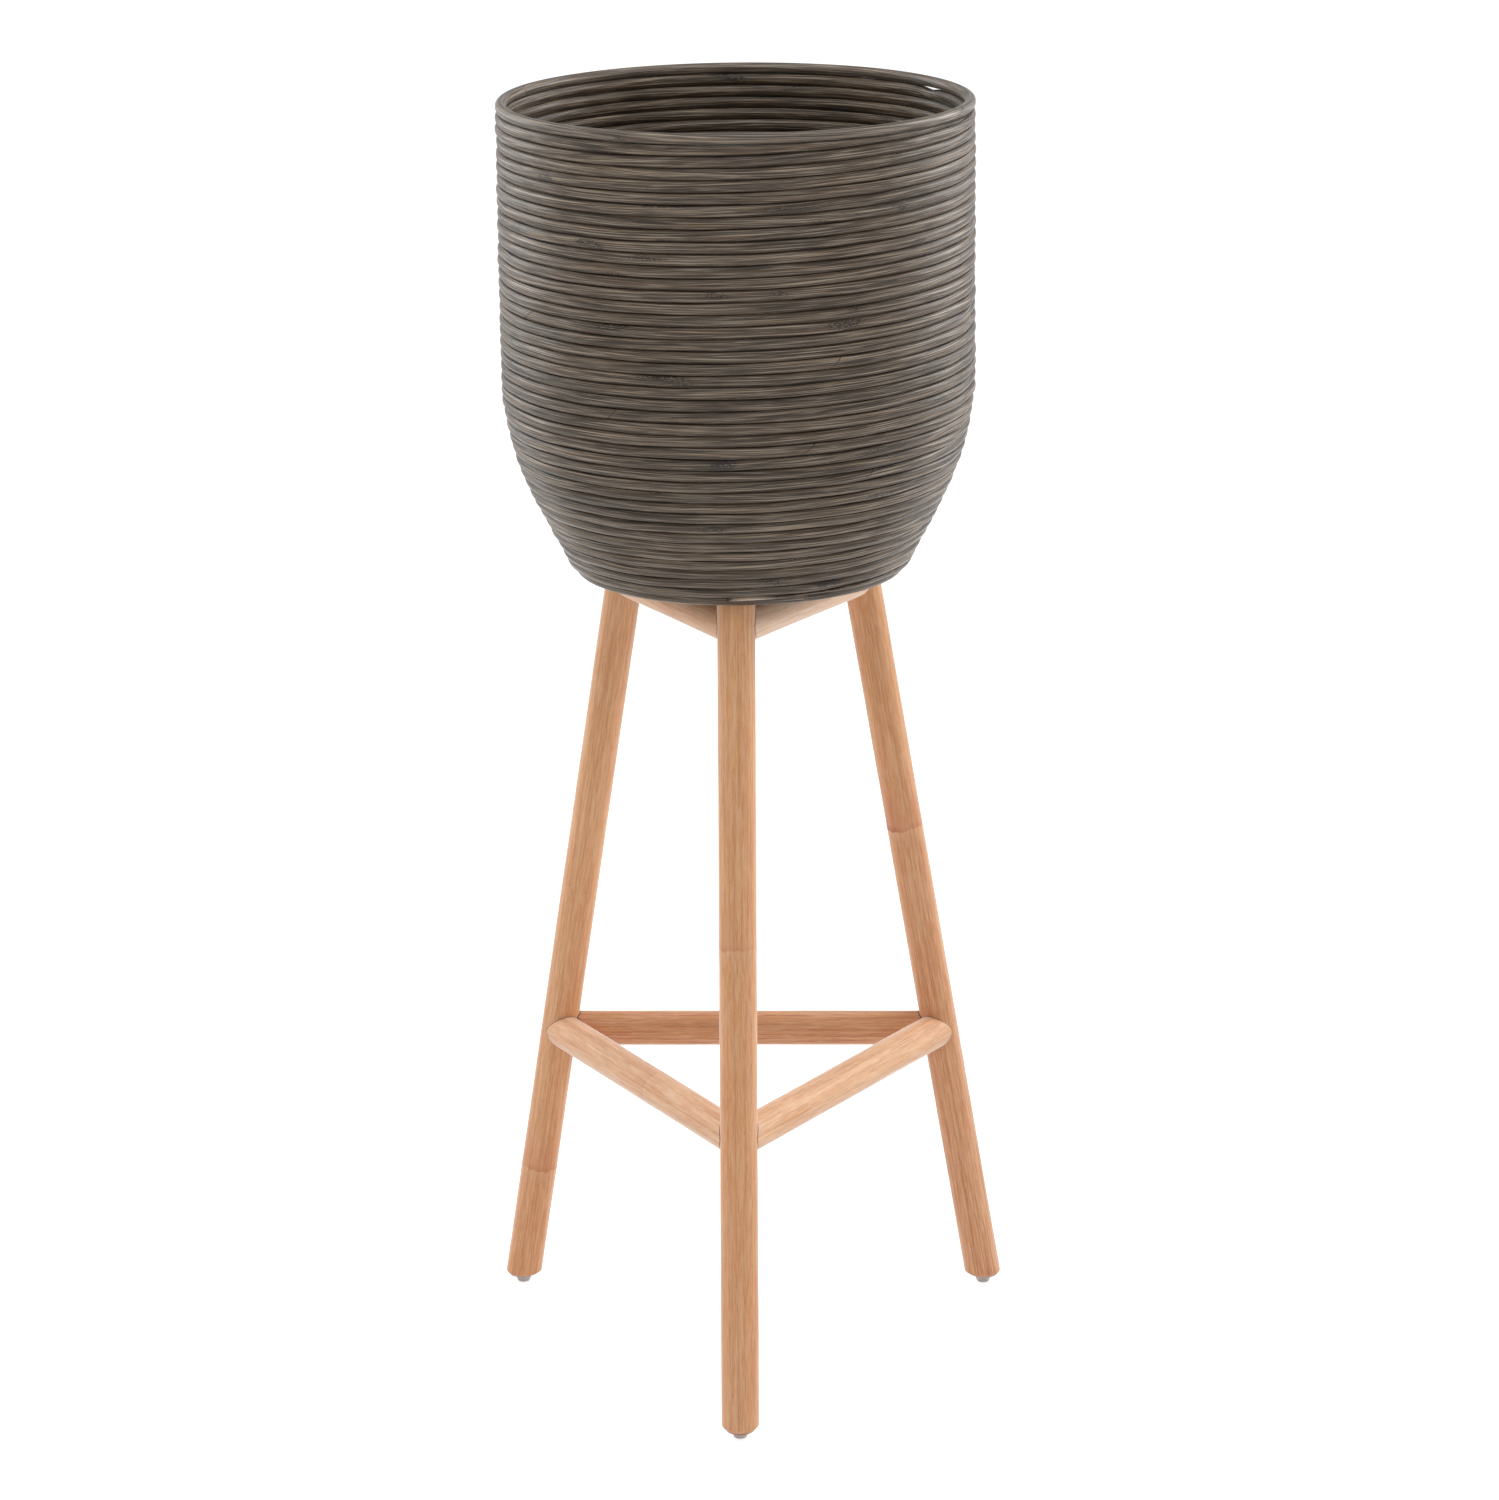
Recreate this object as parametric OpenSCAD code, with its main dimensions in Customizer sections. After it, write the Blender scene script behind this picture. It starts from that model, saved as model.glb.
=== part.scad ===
// Round planter basket wound from one rattan rod, on a stand of three leaning poles.
// Millimetres, +Z up. The origin is on the floor under the middle of the basket,
// and the front leg stands on the -Y side.

/* [Basket] */
// Outside diameter over the rim ring
rim_d = 350; // [320:1:420]
// Thickness of the rod of the rim ring
rim_rod_d = 8; // [6:0.1:10]
// Thickness of the rod that is wound into the wall
rod_d = 8.2; // [7:0.1:10]
// Space between one turn of the wall and the next
turn_gap = 0.48; // [0.42:0.02:1]
// Number of turns from the base ring to the rim ring
turns = 40; // [24:1:50]
// Outside diameter of the base ring
base_ring_d = 244.2; // [236:0.2:270]
// Slant of the line from the base ring up to the first turn
base_tuck = 41.4; // [20:0.2:50]
// Slant of the tapering lower wall from upright
wall_slope = 27.5; // [15:0.5:35]
// Radius of the bend between the taper and the upright wall
bend_r = 212; // [120:1:260]
// Direction in which the rod starts to climb, seen from above
climb_start = -138; // [-180:1:180]
// Thickness at which the tapered ends of the rod are cut off
tip_t = 1; // [0.6:0.1:2.5]
// Thickness of the base board
board_t = 9; // [6:0.5:15]
// Gap where the rings and the base board meet
seat_gap = 0.3; // [0.1:0.05:0.5]

/* [Stand] */
// Height of the leg tops, which carry the basket
stand_h = 609; // [500:1:750]
// Diameter of a leg
leg_d = 28; // [24:0.5:32]
// Distance from the middle to the axis of a leg at the floor
foot_r = 212; // [190:1:240]
// Distance from the edge of the base board in to the axis of a leg at its top
leg_inset = 14.1; // [8:0.1:24]
// Diameter of a stretcher
stretcher_d = 27; // [20:0.5:28]
// Height of the lower stretchers
lower_h = 218; // [120:1:360]
// Drop of the upper stretchers below the leg tops
upper_drop = 20.5; // [16:0.5:60]
// Glue line where the stretchers are cut round the legs
glue_gap = 0.1; // [0.05:0.05:0.3]
// Bevel round the bottom end of a leg
foot_bevel = 3; // [0.5:0.25:4]

/* [Fastenings] */
// Diameter of a dowel
dowel_d = 6; // [4:0.5:6]
// Length of a dowel
dowel_l = 32; // [24:1:50]
// Depth to which a dowel enters a leg
dowel_in_leg = 6.5; // [4:0.5:7]
// Space between a fastening and its hole
hole_gap = 0.05; // [0.02:0.01:0.2]
// Shank diameter of a base screw
screw_d = 4.5; // [3:0.5:5]
// Head diameter of a base screw
screw_head_d = 9; // [7:0.5:11]
// Length of a base screw
screw_l = 40; // [25:1:60]
// Diameter of a glide at the leg
glide_d = 14; // [12:0.5:20]
// Diameter of a glide at the floor
glide_tip_d = 10; // [8:0.5:14]
// Height of a glide
glide_t = 6.2; // [3:0.2:8]
// Shank diameter of a glide nail
nail_d = 2; // [1.5:0.25:3]
// Length of a glide nail
nail_l = 18; // [12:1:30]
// Head diameter of a glide nail
nail_head_d = 5; // [4:0.25:6]
// Thickness of the head of a glide nail
nail_head_t = 0.8; // [0.6:0.1:1.5]
// Depth of the nail head above the floor
nail_recess = 1.5; // [1:0.25:2.5]

/* [Hidden] */
$fn = 96;
// Small overlap of a cutting shape past the face that it cuts
cut = 1;

rod_r = rod_d / 2;
rim_r = rim_rod_d / 2;
leg_r = leg_d / 2;
stretcher_r = stretcher_d / 2;
pitch = rod_d + turn_gap;
// Space between the rod of the wall and the rings above and below it
ring_seat = seat_gap;

// The wall's line, on which the centre of the rod lies at the start of each turn:
// a straight taper, a bend and an upright part.
base_z = stand_h + rod_r;
base_r = base_ring_d / 2 - rod_r;
first_step = rod_d + ring_seat;
line_r0 = base_r + first_step * sin(base_tuck);
line_z0 = base_z + first_step * cos(base_tuck);
upright_r = rim_d / 2 - rod_r;
board_r = base_r - rod_r - seat_gap;
slope = min(wall_slope, acos(max(0, 1 - (upright_r - line_r0) / bend_r)));
bend_in = bend_r * (1 - cos(slope));
taper_l = (upright_r - line_r0 - bend_in) / sin(slope);
bend_l = bend_r * slope * PI / 180;

// Radius and height of the wall's line at a distance s along it
function line_at(s) =
  s < taper_l
    ? [line_r0 + s * sin(slope), line_z0 + s * cos(slope)]
  : s < taper_l + bend_l
    ? let (a = slope - (s - taper_l) / bend_r * 180 / PI)
      [upright_r - bend_r * (1 - cos(a)),
       line_z0 + taper_l * cos(slope) + bend_r * (sin(slope) - sin(a))]
  : [upright_r, line_z0 + taper_l * cos(slope) + bend_r * sin(slope) + s - taper_l - bend_l];

// Place of turn k, counted from 1
function turn_at(k) = line_at((k - 1) * pitch);

top_z = turn_at(turns)[1];
rim_z = top_z + rod_r + ring_seat + rim_r;

// Centre of the rod at an angle on the climbing half of turn k
function climb_point(k, a) =
  let (p = turn_at(k), q = turn_at(k + 1), mid_r = (p[0] + q[0]) / 2)
  [(p[0] - q[0]) / 2 + mid_r * cos(a),
   norm([mid_r, (q[1] - p[1]) / 2]) * sin(a),
   (p[1] + q[1]) / 2 - (q[1] - p[1]) / 2 * cos(a)];

least_gap = min(concat(
  [for (k = [1 : turns - 1]) norm(turn_at(k + 1) - turn_at(k)) - rod_d],
  [for (k = [1 : turns - 2], a = [0 : 15 : 180], b = [a - 2 : 0.5 : a + 2])
    norm(climb_point(k + 1, a) - climb_point(k, b)) - rod_d]
));
echo(str("least gap between turns of the wall: ", least_gap, " mm"));
echo(str("height over all: ", rim_z + rim_r, " mm"));

// Radius and slope of the circle on which turn k climbs
function climb_r(k) =
  let (p = turn_at(k), q = turn_at(k + 1))
  norm([p[0] + q[0], q[1] - p[1]]) / 2;

function climb_tilt(k) =
  let (p = turn_at(k), q = turn_at(k + 1))
  atan2(q[1] - p[1], p[0] + q[0]);

// Roll of the rod about its own axis on the level half of turn k. A climb rolls the
// rod by its slope at either end, so that each arc carries on where the last one stops.
// The first roll keeps every arc less than a quarter turn from upright.
first_roll = -60;
function roll_at(k) = k <= 1 ? first_roll : roll_at(k - 1) + 2 * climb_tilt(k - 1);

// Part of a turn of the rod in the plane of its own circle
module bent_rod(r, roll, from = 0, to = 180) {
  rotate([0, 0, from])
    rotate_extrude(angle = to - from)
      translate([r, 0])
        rotate(roll)
          circle(r = rod_r, $fn = 24);
}

// Puts a half ring on the climbing half of turn k
module on_climb(k) {
  p = turn_at(k);
  q = turn_at(k + 1);
  translate([(p[0] - q[0]) / 2, 0, (p[1] + q[1]) / 2])
    rotate([0, climb_tilt(k), 0])
      children();
}

module climbing_half(k) {
  on_climb(k)
    bent_rod(climb_r(k), roll_at(k) + climb_tilt(k));
}

module level_half(k) {
  p = turn_at(k);
  translate([0, 0, p[1]])
    bent_rod(p[0], roll_at(k), 180, 360);
}

// Angle past the start of a climb at which the wedge there is as thick as a cut tip
function tip_angle(step) = acos(1 - 2 * (turn_gap + tip_t) / step);

// The rod starts with a level turn on the base ring. Its end is shaved thin from
// above, where the rod climbs over it.
module first_turn() {
  p = turn_at(1);
  q = turn_at(2);
  step = norm(q - p);
  slant = atan2(q[0] - p[0], q[1] - p[1]);
  difference() {
    translate([0, 0, p[1]])
      bent_rod(p[0], roll_at(1), tip_angle(step), 360);
    on_climb(1)
      rotate_extrude(angle = 175)
        translate([climb_r(1), 0])
          rotate(-slant)
            translate([-3 * rod_r, -rod_r - turn_gap])
              square([6 * rod_r, 6 * rod_r]);
  }
}

// The rod ends with a climb under the level rim ring and is shaved flat there.
module last_climb() {
  difference() {
    on_climb(turns)
      bent_rod(climb_r(turns), roll_at(turns) + climb_tilt(turns), 0, 180 - tip_angle(pitch));
    translate([0, 0, top_z + rod_r])
      cylinder(h = 4 * rod_r, r = rim_d);
  }
}

module wall_coil() {
  color([0.40, 0.36, 0.32])
    rotate([0, 0, climb_start])
      union() {
        first_turn();
        for (k = [1 : turns - 1]) {
          climbing_half(k);
          level_half(k + 1);
        }
        last_climb();
      }
}

module rim_ring() {
  color([0.42, 0.38, 0.34])
    translate([0, 0, rim_z])
      rotate_extrude()
        translate([rim_d / 2 - rim_r, 0])
          circle(r = rim_r);
}

module base_ring() {
  color([0.38, 0.34, 0.30])
    translate([0, 0, base_z])
      rotate_extrude()
        translate([base_r, 0])
          circle(r = rod_r);
}

// Directions of the legs seen from above
front_angle = -90;
left_angle = 150;
right_angle = 30;

top_r = board_r - leg_inset;
lean = atan2(foot_r - top_r, stand_h);
function leg_axis_r(z) = foot_r - (foot_r - top_r) * z / stand_h;
function on_leg(a, z) = [leg_axis_r(z) * cos(a), leg_axis_r(z) * sin(a), z];

module leg_rod(a, r) {
  rotate([0, 0, a])
    translate([foot_r, 0, 0])
      rotate([0, -lean, 0])
        translate([0, 0, -leg_d])
          cylinder(h = stand_h / cos(lean) + 2 * leg_d, r = r);
}

// Countersunk screw from the base board down into the end of a leg.
// A gap and an overrun turn it into its own hole.
module base_screw(a, gap = 0, over = 0) {
  shank_r = screw_d / 2 + gap;
  head_t = (screw_head_d - screw_d) / 2 + gap;
  p = on_leg(a, stand_h);
  color([0.62, 0.62, 0.60])
    translate([p[0], p[1], stand_h + board_t]) {
      translate([0, 0, -screw_l - gap])
        cylinder(h = screw_l + gap, r = shank_r);
      translate([0, 0, -head_t])
        cylinder(h = head_t + over, r1 = shank_r, r2 = shank_r + head_t + over);
    }
}

// Nail that holds a glide, with its head sunk in the glide
module glide_nail(a, gap = 0, under = 0) {
  p = on_leg(a, glide_t);
  color([0.62, 0.62, 0.60])
    translate([p[0], p[1], nail_recess]) {
      cylinder(h = nail_l + gap, r = nail_d / 2 + gap);
      translate([0, 0, -under])
        cylinder(h = nail_head_t + under + gap, r = nail_head_d / 2 + gap);
    }
}

// Dowel in the leg at angle a, in the stretcher that runs to the leg at angle b
module dowel(a, b, z, gap = 0) {
  p = on_leg(a, z);
  q = on_leg(b, z);
  color([0.86, 0.74, 0.56])
    translate(p)
      rotate([0, 0, atan2(q[1] - p[1], q[0] - p[0])])
        translate([leg_r - dowel_in_leg - gap, 0, 0])
          rotate([0, 90, 0])
            cylinder(h = dowel_l + 2 * gap, r = dowel_d / 2 + gap);
}

upper_h = stand_h - upper_drop;

module leg(a, b, c) {
  end = on_leg(a, glide_t);
  color([0.79, 0.60, 0.45])
    difference() {
      intersection() {
        leg_rod(a, leg_r);
        translate([end[0], end[1], glide_t])
          union() {
            cylinder(h = 2 * foot_bevel, r1 = leg_r - foot_bevel, r2 = leg_r + foot_bevel);
            translate([-foot_r, -foot_r, 2 * foot_bevel])
              cube([2 * foot_r, 2 * foot_r, stand_h - glide_t - 2 * foot_bevel]);
          }
      }
      base_screw(a, hole_gap, cut);
      glide_nail(a, hole_gap);
      for (z = [lower_h, upper_h]) {
        dowel(a, b, z, hole_gap);
        dowel(a, c, z, hole_gap);
      }
    }
}

module stretcher_rod(a, b, z, r) {
  p = on_leg(a, z);
  q = on_leg(b, z);
  translate(p)
    rotate([0, 0, atan2(q[1] - p[1], q[0] - p[0])])
      rotate([0, 90, 0])
        cylinder(h = norm(q - p), r = r);
}

// A side stretcher runs from the front leg to the rear leg at angle a. It is mitred
// against the other one behind the front leg, and its rear end lies between the leg
// and the rear stretcher, so the dowel that runs to the leg at angle b grazes it.
module side_stretcher(a, b, z) {
  side = cos(a) < 0 ? -1 : 1;
  color([0.82, 0.63, 0.48])
    difference() {
      stretcher_rod(front_angle, a, z, stretcher_r);
      leg_rod(front_angle, leg_r + glue_gap);
      leg_rod(a, leg_r + glue_gap);
      translate([side * (glue_gap / 2 - foot_r) - foot_r, -2 * foot_r, z - leg_d])
        cube([2 * foot_r, 4 * foot_r, 2 * leg_d]);
      dowel(front_angle, a, z, hole_gap);
      dowel(a, front_angle, z, hole_gap);
      dowel(a, b, z, hole_gap);
    }
}

// The rear stretcher is cut round the rear legs and round both side stretchers.
module rear_stretcher(z) {
  color([0.80, 0.61, 0.46])
    difference() {
      stretcher_rod(left_angle, right_angle, z, stretcher_r);
      leg_rod(left_angle, leg_r + glue_gap);
      leg_rod(right_angle, leg_r + glue_gap);
      stretcher_rod(front_angle, left_angle, z, stretcher_r + glue_gap);
      stretcher_rod(front_angle, right_angle, z, stretcher_r + glue_gap);
      dowel(left_angle, right_angle, z, hole_gap);
      dowel(right_angle, left_angle, z, hole_gap);
    }
}

module base_board() {
  color([0.45, 0.40, 0.35])
    difference() {
      translate([0, 0, stand_h])
        cylinder(h = board_t, r = board_r);
      for (a = [front_angle, left_angle, right_angle]) {
        base_screw(a, hole_gap, cut);
      }
    }
}

module glide(a) {
  p = on_leg(a, glide_t);
  color([0.72, 0.70, 0.68])
    difference() {
      translate([p[0], p[1], 0])
        cylinder(h = glide_t, r1 = glide_tip_d / 2, r2 = glide_d / 2);
      glide_nail(a, hole_gap, nail_recess + cut);
    }
}

rim_ring();
wall_coil();
base_ring();
base_board();
leg(front_angle, left_angle, right_angle);  // leg_front
leg(left_angle, front_angle, right_angle);  // leg_left
leg(right_angle, front_angle, left_angle);  // leg_right
side_stretcher(left_angle, right_angle, upper_h);  // upper_stretcher_left
side_stretcher(right_angle, left_angle, upper_h);  // upper_stretcher_right
rear_stretcher(upper_h);  // upper_stretcher_rear
side_stretcher(left_angle, right_angle, lower_h);  // lower_stretcher_left
side_stretcher(right_angle, left_angle, lower_h);  // lower_stretcher_right
rear_stretcher(lower_h);  // lower_stretcher_rear
dowel(front_angle, left_angle, upper_h);  // dowel_upper_left_front
dowel(left_angle, front_angle, upper_h);  // dowel_upper_left_rear
dowel(front_angle, right_angle, upper_h);  // dowel_upper_right_front
dowel(right_angle, front_angle, upper_h);  // dowel_upper_right_rear
dowel(left_angle, right_angle, upper_h);  // dowel_upper_rear_left
dowel(right_angle, left_angle, upper_h);  // dowel_upper_rear_right
dowel(front_angle, left_angle, lower_h);  // dowel_lower_left_front
dowel(left_angle, front_angle, lower_h);  // dowel_lower_left_rear
dowel(front_angle, right_angle, lower_h);  // dowel_lower_right_front
dowel(right_angle, front_angle, lower_h);  // dowel_lower_right_rear
dowel(left_angle, right_angle, lower_h);  // dowel_lower_rear_left
dowel(right_angle, left_angle, lower_h);  // dowel_lower_rear_right
base_screw(front_angle);  // base_screw_front
base_screw(left_angle);  // base_screw_left
base_screw(right_angle);  // base_screw_right
glide(front_angle);  // glide_front
glide(left_angle);  // glide_left
glide(right_angle);  // glide_right
glide_nail(front_angle);  // glide_nail_front
glide_nail(left_angle);  // glide_nail_left
glide_nail(right_angle);  // glide_nail_right
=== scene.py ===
"""Looks of the standing planter: a wound rattan basket on three leaning poles.

Metres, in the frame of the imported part: origin on the floor under the basket's axis,
+Z up, the front leg on the -Y side.
"""
import math

import bpy
import numpy as np
from mathutils import Matrix, Vector


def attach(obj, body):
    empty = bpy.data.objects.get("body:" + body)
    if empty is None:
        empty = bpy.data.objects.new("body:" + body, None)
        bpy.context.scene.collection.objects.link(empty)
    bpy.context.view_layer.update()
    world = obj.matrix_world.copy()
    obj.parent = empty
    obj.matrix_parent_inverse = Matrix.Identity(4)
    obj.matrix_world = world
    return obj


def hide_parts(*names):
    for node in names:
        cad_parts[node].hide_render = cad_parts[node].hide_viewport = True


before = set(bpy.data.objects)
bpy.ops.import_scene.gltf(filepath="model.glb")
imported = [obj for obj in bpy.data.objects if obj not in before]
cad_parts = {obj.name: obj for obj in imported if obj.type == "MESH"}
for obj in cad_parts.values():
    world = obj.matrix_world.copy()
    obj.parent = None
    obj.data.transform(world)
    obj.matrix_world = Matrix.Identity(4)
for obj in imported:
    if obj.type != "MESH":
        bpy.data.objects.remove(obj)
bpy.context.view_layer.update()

UP = np.array([0, 0, 1.0])
WHITE = (1, 1, 1, 1)

# The wall's rod as the part has it: its turns, where each starts to climb, and its shaved tips
ROD_R = 0.0041
PITCH = 0.00868
TURNS = 40
CLIMB_START = math.radians(-138)
TIP_T = 0.001

# The basket: base ring on the stand, first turn on that ring, taper, bend, upright part and rim
STAND_H = 0.609
BASE_R = 0.118
BASE_Z = STAND_H + ROD_R
SEAT = 0.0003
BASE_TUCK = math.radians(41.4)
SLOPE = math.radians(27.5)
BEND_R = 0.212
UPRIGHT_R = 0.1709
RIM_R = 0.004
RIM_MID_R = 0.171

# The stand: a leg's middle line goes from FOOT_R on the floor to TOP_R under the basket
LEG_R = 0.014
FOOT_R = 0.212
TOP_R = 0.0995
FOOT_BEVEL = 0.003
STRETCHER_R = 0.0135
LOWER_H = 0.218
UPPER_H = 0.5885
GLUE = 0.0001
GLIDE_T = 0.0062
FRONT = math.radians(-90)
LEFT = math.radians(150)
RIGHT = math.radians(30)

# Each leg's direction, the place of its growth ring along it, how dark that is, seed and tone
LEGS = (("front", FRONT, 0.363, 0.5, 1, 0.42),
        ("left", LEFT, 0.103, 0.45, 2, 0.45),
        ("right", RIGHT, 0.394, 1.0, 3, 0.25))

# Height, first seed and tone of the right one, for the upper and the lower three stretchers.
# The upper right one's tone over 1 is painted light, which paints it paler under the basket
LEVELS = (("upper", UPPER_H, 10, 1.6),
          ("lower", LOWER_H, 20, 0.8))
LEFT_TONE = 0.85
REAR_TONE = 0.1
LEFT_RING_AT = 0.128
STRETCHER_BAND = 0.4

# A glide's outline from the hole of its nail outwards and up, as radius and height
GLIDE_OUTLINE = ((0.00256, 0.0), (0.0042, 0.0), (0.0047, 0.0002), (0.005, 0.0007),
                 (0.0060, 0.0034), (0.00685, 0.0052), (0.0069, 0.0058), (0.0066, GLIDE_T),
                 (0.0021, GLIDE_T))

# Half thickness of a rod of the wall across the wall and along it, as drawn, and of the base rod
ROD_ACROSS = 0.00418
ROD_ALONG = 0.00446
BASE_ACROSS = 0.00415

# Exponent of a rod's section: 2 is round, and more is squarer
SQUARENESS = 2.15

# How fine the meshes are: sides round a piece, and steps along it
WALL_SIDES = 16
HALF_TURN_STEPS = 76
RING_SIDES = 20
RING_STEPS = 240
POLE_SIDES = 64
LEG_STEPS = 260
STRETCHER_STEPS = 180
GLIDE_SIDES = 48

# Shares of a pole's length, close together near its ends, where joints and bevels are
END_SHARES = np.array([0.0008, 0.0016, 0.0024, 0.0032, 0.0042, 0.0055, 0.007, 0.009])

# Slow changes along the wall's rod: wave lengths, amount and seed of each
WANDER_ACROSS = ((0.083, 0.19, 0.41, 0.057), 0.0007, 3)
WANDER_ALONG = ((0.11, 0.27, 0.071), 0.00016, 4)
WIDTH_CHANGE = ((0.13, 0.37, 0.9), 0.03, 5)
FIBRE_TWIST = ((1.9, 3.1, 0.7), 1.6, 7)

# Ripples of a ring: how many round it, how its phase counts in them, and their height
RING_RIPPLES = ((7, 1, 0.00012), (3, 2, 0.00015))
RING_SPLICE_L = 0.022

# Splices of the wall's rod: distance along it and length of the slanting cut
SPLICES = ((1.9, 0.012), (5.2, 0.017), (8.1, 0.01), (11.0, 0.014), (14.1, 0.012), (17.168, 0.01),
           (21.627, 0.009), (24.6, 0.015), (28.2, 0.012), (31.9, 0.017), (35.3, 0.01),
           (38.4, 0.014))
SPLICE_TONE_SEED = 11

# Low end of the wall's rod: it reaches further than the part's and is shaved thinner. Its
# section gets squarer and stands out from the wall, and the very end is a flat wedge.
LOW_END_MORE = math.radians(3.4)
SHAVED_L = 0.05
SHAVED_OUT = 0.0006
SHAVED_SQUARER = 4
WEDGE_L = 0.03
WEDGE_EDGE_T = 0.0002
WEDGE_RISE = 0.13

# Pale cut of the low end: where it has faded in, where it ends, how long it fades, its depth
FRESH_FROM = 0.006
FRESH_END = 0.038
FRESH_FADE = 0.02
FRESH_DEPTH = 0.0016

# Height of the topmost turn's flat cut over the top of the level rods, under the rim
TOP_CUT = 0.0002

# Thin place of the rod under the rim, where light shows through
THIN_TURN = TURNS - 1
THIN_AT = math.radians(33)
THIN_L = 0.008
THIN_BY = 0.2

# Poles: how far under the part's surface, wander, swelling at growth rings, and how much paler
# a leg is painted at its top than at its foot, which is painted light from above
POLE_INSET = 0.0001
POLE_WAVES = (0.11, 0.29, 0.53)
POLE_WANDER = 0.00012
SWELLING = 0.00012
SWELLING_L = 0.007
LEG_PAINTED_TOP_LIGHT = 0.32

# Moves the grain of each pole along by its seed, so that no two poles have the same
GRAIN_SHIFT = 3.7

# Stands for no splice or growth ring near a point
FAR = 1.0

# Studio: strength of the world's light, the floor's half size, colour and glow, and each
# lamp's place, height of its aim on the planter's axis, side in metres and power in watts
WORLD_LIGHT = 0.63
FLOOR_HALF = 12.0
FLOOR_COLOUR = (0.82, 0.82, 0.82, 1)
FLOOR_GLOW = 0.6
LAMPS = (("softbox_left", (-1.7, 0.9, 1.4), 0.85, 1.2, 21),
         ("softbox_right", (1.75, 0.85, 1.5), 0.85, 1.2, 32),
         ("softbox_top", (0.0, -0.6, 2.7), 0.5, 1.6, 15))

# The photograph's camera, with its focal length in pixels of the photograph
CAMERA_AT = (0.1337, -3.8596, 1.5471)
CAMERA_YAW = math.radians(1.906)
CAMERA_PITCH = math.radians(15.625)
CAMERA_ROLL = math.radians(-0.632)
FOCAL_PX = 5328.5
PHOTO_WIDTH_PX = 1499
SENSOR_WIDTH_MM = 36.0


# Meshes

def add_object(name, verts, faces, node, material, floats=(), vectors=()):
    """A smooth mesh that rides on the part and stands for a CAD node, with values on its points."""
    mesh = bpy.data.meshes.new(name)
    mesh.from_pydata(verts.tolist(), [], faces)
    mesh.shade_smooth()
    for key, values in floats:
        attribute = mesh.attributes.new(key, "FLOAT", "POINT")
        attribute.data.foreach_set("value", np.asarray(values, np.float32).ravel())
    for key, values in vectors:
        attribute = mesh.attributes.new(key, "FLOAT_VECTOR", "POINT")
        attribute.data.foreach_set("vector", np.asarray(values, np.float32).ravel())
    mesh.materials.append(material)
    obj = bpy.data.objects.new(name, mesh)
    bpy.context.scene.collection.objects.link(obj)
    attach(obj, "root")
    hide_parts(node)


def tube_faces(rings, sides, closed):
    """Quads between the rings of a tube. An open tube ends in fans round two extra points."""
    faces = []
    for i in range(rings if closed else rings - 1):
        a, b = i * sides, (i + 1) % rings * sides
        for j in range(sides):
            k = (j + 1) % sides
            faces.append((a + j, a + k, b + k, b + j))
    if not closed:
        first, last = rings * sides, rings * sides + 1
        end = (rings - 1) * sides
        for j in range(sides):
            k = (j + 1) % sides
            faces.append((first, k, j))
            faces.append((last, end + j, end + k))
    return faces


def circle(count):
    """Angles of count points round a circle."""
    return np.linspace(0, 2 * math.pi, count, endpoint=False)


def unit(v):
    return v / np.linalg.norm(v, axis=-1, keepdims=True)


def wave(s, lengths, amount, seed):
    """A smooth wandering of a value along s, from a few sine waves."""
    local = np.random.default_rng(seed)
    out = np.zeros_like(s)
    for length in lengths:
        out += np.sin(2 * math.pi * s / length + local.uniform(0, 2 * math.pi))
    return amount * out / len(lengths)


def swept_rod(centres, across, along, s, half_across, half_along, sides, power, high=None):
    """Points of a rod along its centres. power is the exponent of its section, and high is the
    height along the wall at which it is cut flat. Returns the points, their places in the rod
    itself, and their heights along the wall before and after the cut."""
    t = circle(sides)
    c, d = np.cos(t), np.sin(t)
    power = np.broadcast_to(power, (len(centres),))[:, None]
    scale = (np.abs(c) ** power + np.abs(d) ** power) ** (-1 / power)
    x = half_across[:, None] * c * scale
    full = half_along[:, None] * d * scale
    y = full if high is None else np.minimum(full, high[:, None])
    points = centres[:, None] + x[..., None] * across[:, None] + y[..., None] * along[:, None]
    twist = wave(s, *FIBRE_TWIST)
    ct, st = np.cos(twist)[:, None], np.sin(twist)[:, None]
    lengthwise = np.repeat(s[:, None], sides, 1)
    inner = np.stack([lengthwise, x * ct - y * st, x * st + y * ct], -1)
    return points.reshape(-1, 3), inner.reshape(-1, 3), full.reshape(-1), y.reshape(-1)


# The wall's line

FIRST_STEP = 2 * ROD_R + SEAT
LINE_R0 = BASE_R + FIRST_STEP * math.sin(BASE_TUCK)
LINE_Z0 = BASE_Z + FIRST_STEP * math.cos(BASE_TUCK)
BEND_IN = BEND_R * (1 - math.cos(SLOPE))
TAPER_L = (UPRIGHT_R - LINE_R0 - BEND_IN) / math.sin(SLOPE)
BEND_L = BEND_R * SLOPE


def line_at(s):
    """Radius, height and slant of the wall's line at a distance along it."""
    if s < TAPER_L:
        return LINE_R0 + s * math.sin(SLOPE), LINE_Z0 + s * math.cos(SLOPE), SLOPE
    top = LINE_Z0 + TAPER_L * math.cos(SLOPE)
    if s < TAPER_L + BEND_L:
        a = SLOPE - (s - TAPER_L) / BEND_R
        r = UPRIGHT_R - BEND_R * (1 - math.cos(a))
        return r, top + BEND_R * (math.sin(SLOPE) - math.sin(a)), a
    return UPRIGHT_R, top + BEND_R * math.sin(SLOPE) + s - TAPER_L - BEND_L, 0.0


def turn_at(k):
    return line_at((k - 1) * PITCH)


TOP_Z = turn_at(TURNS)[1]
RIM_Z = TOP_Z + ROD_R + SEAT + RIM_R
STEP_1 = math.hypot(turn_at(2)[0] - turn_at(1)[0], turn_at(2)[1] - turn_at(1)[1])


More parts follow.
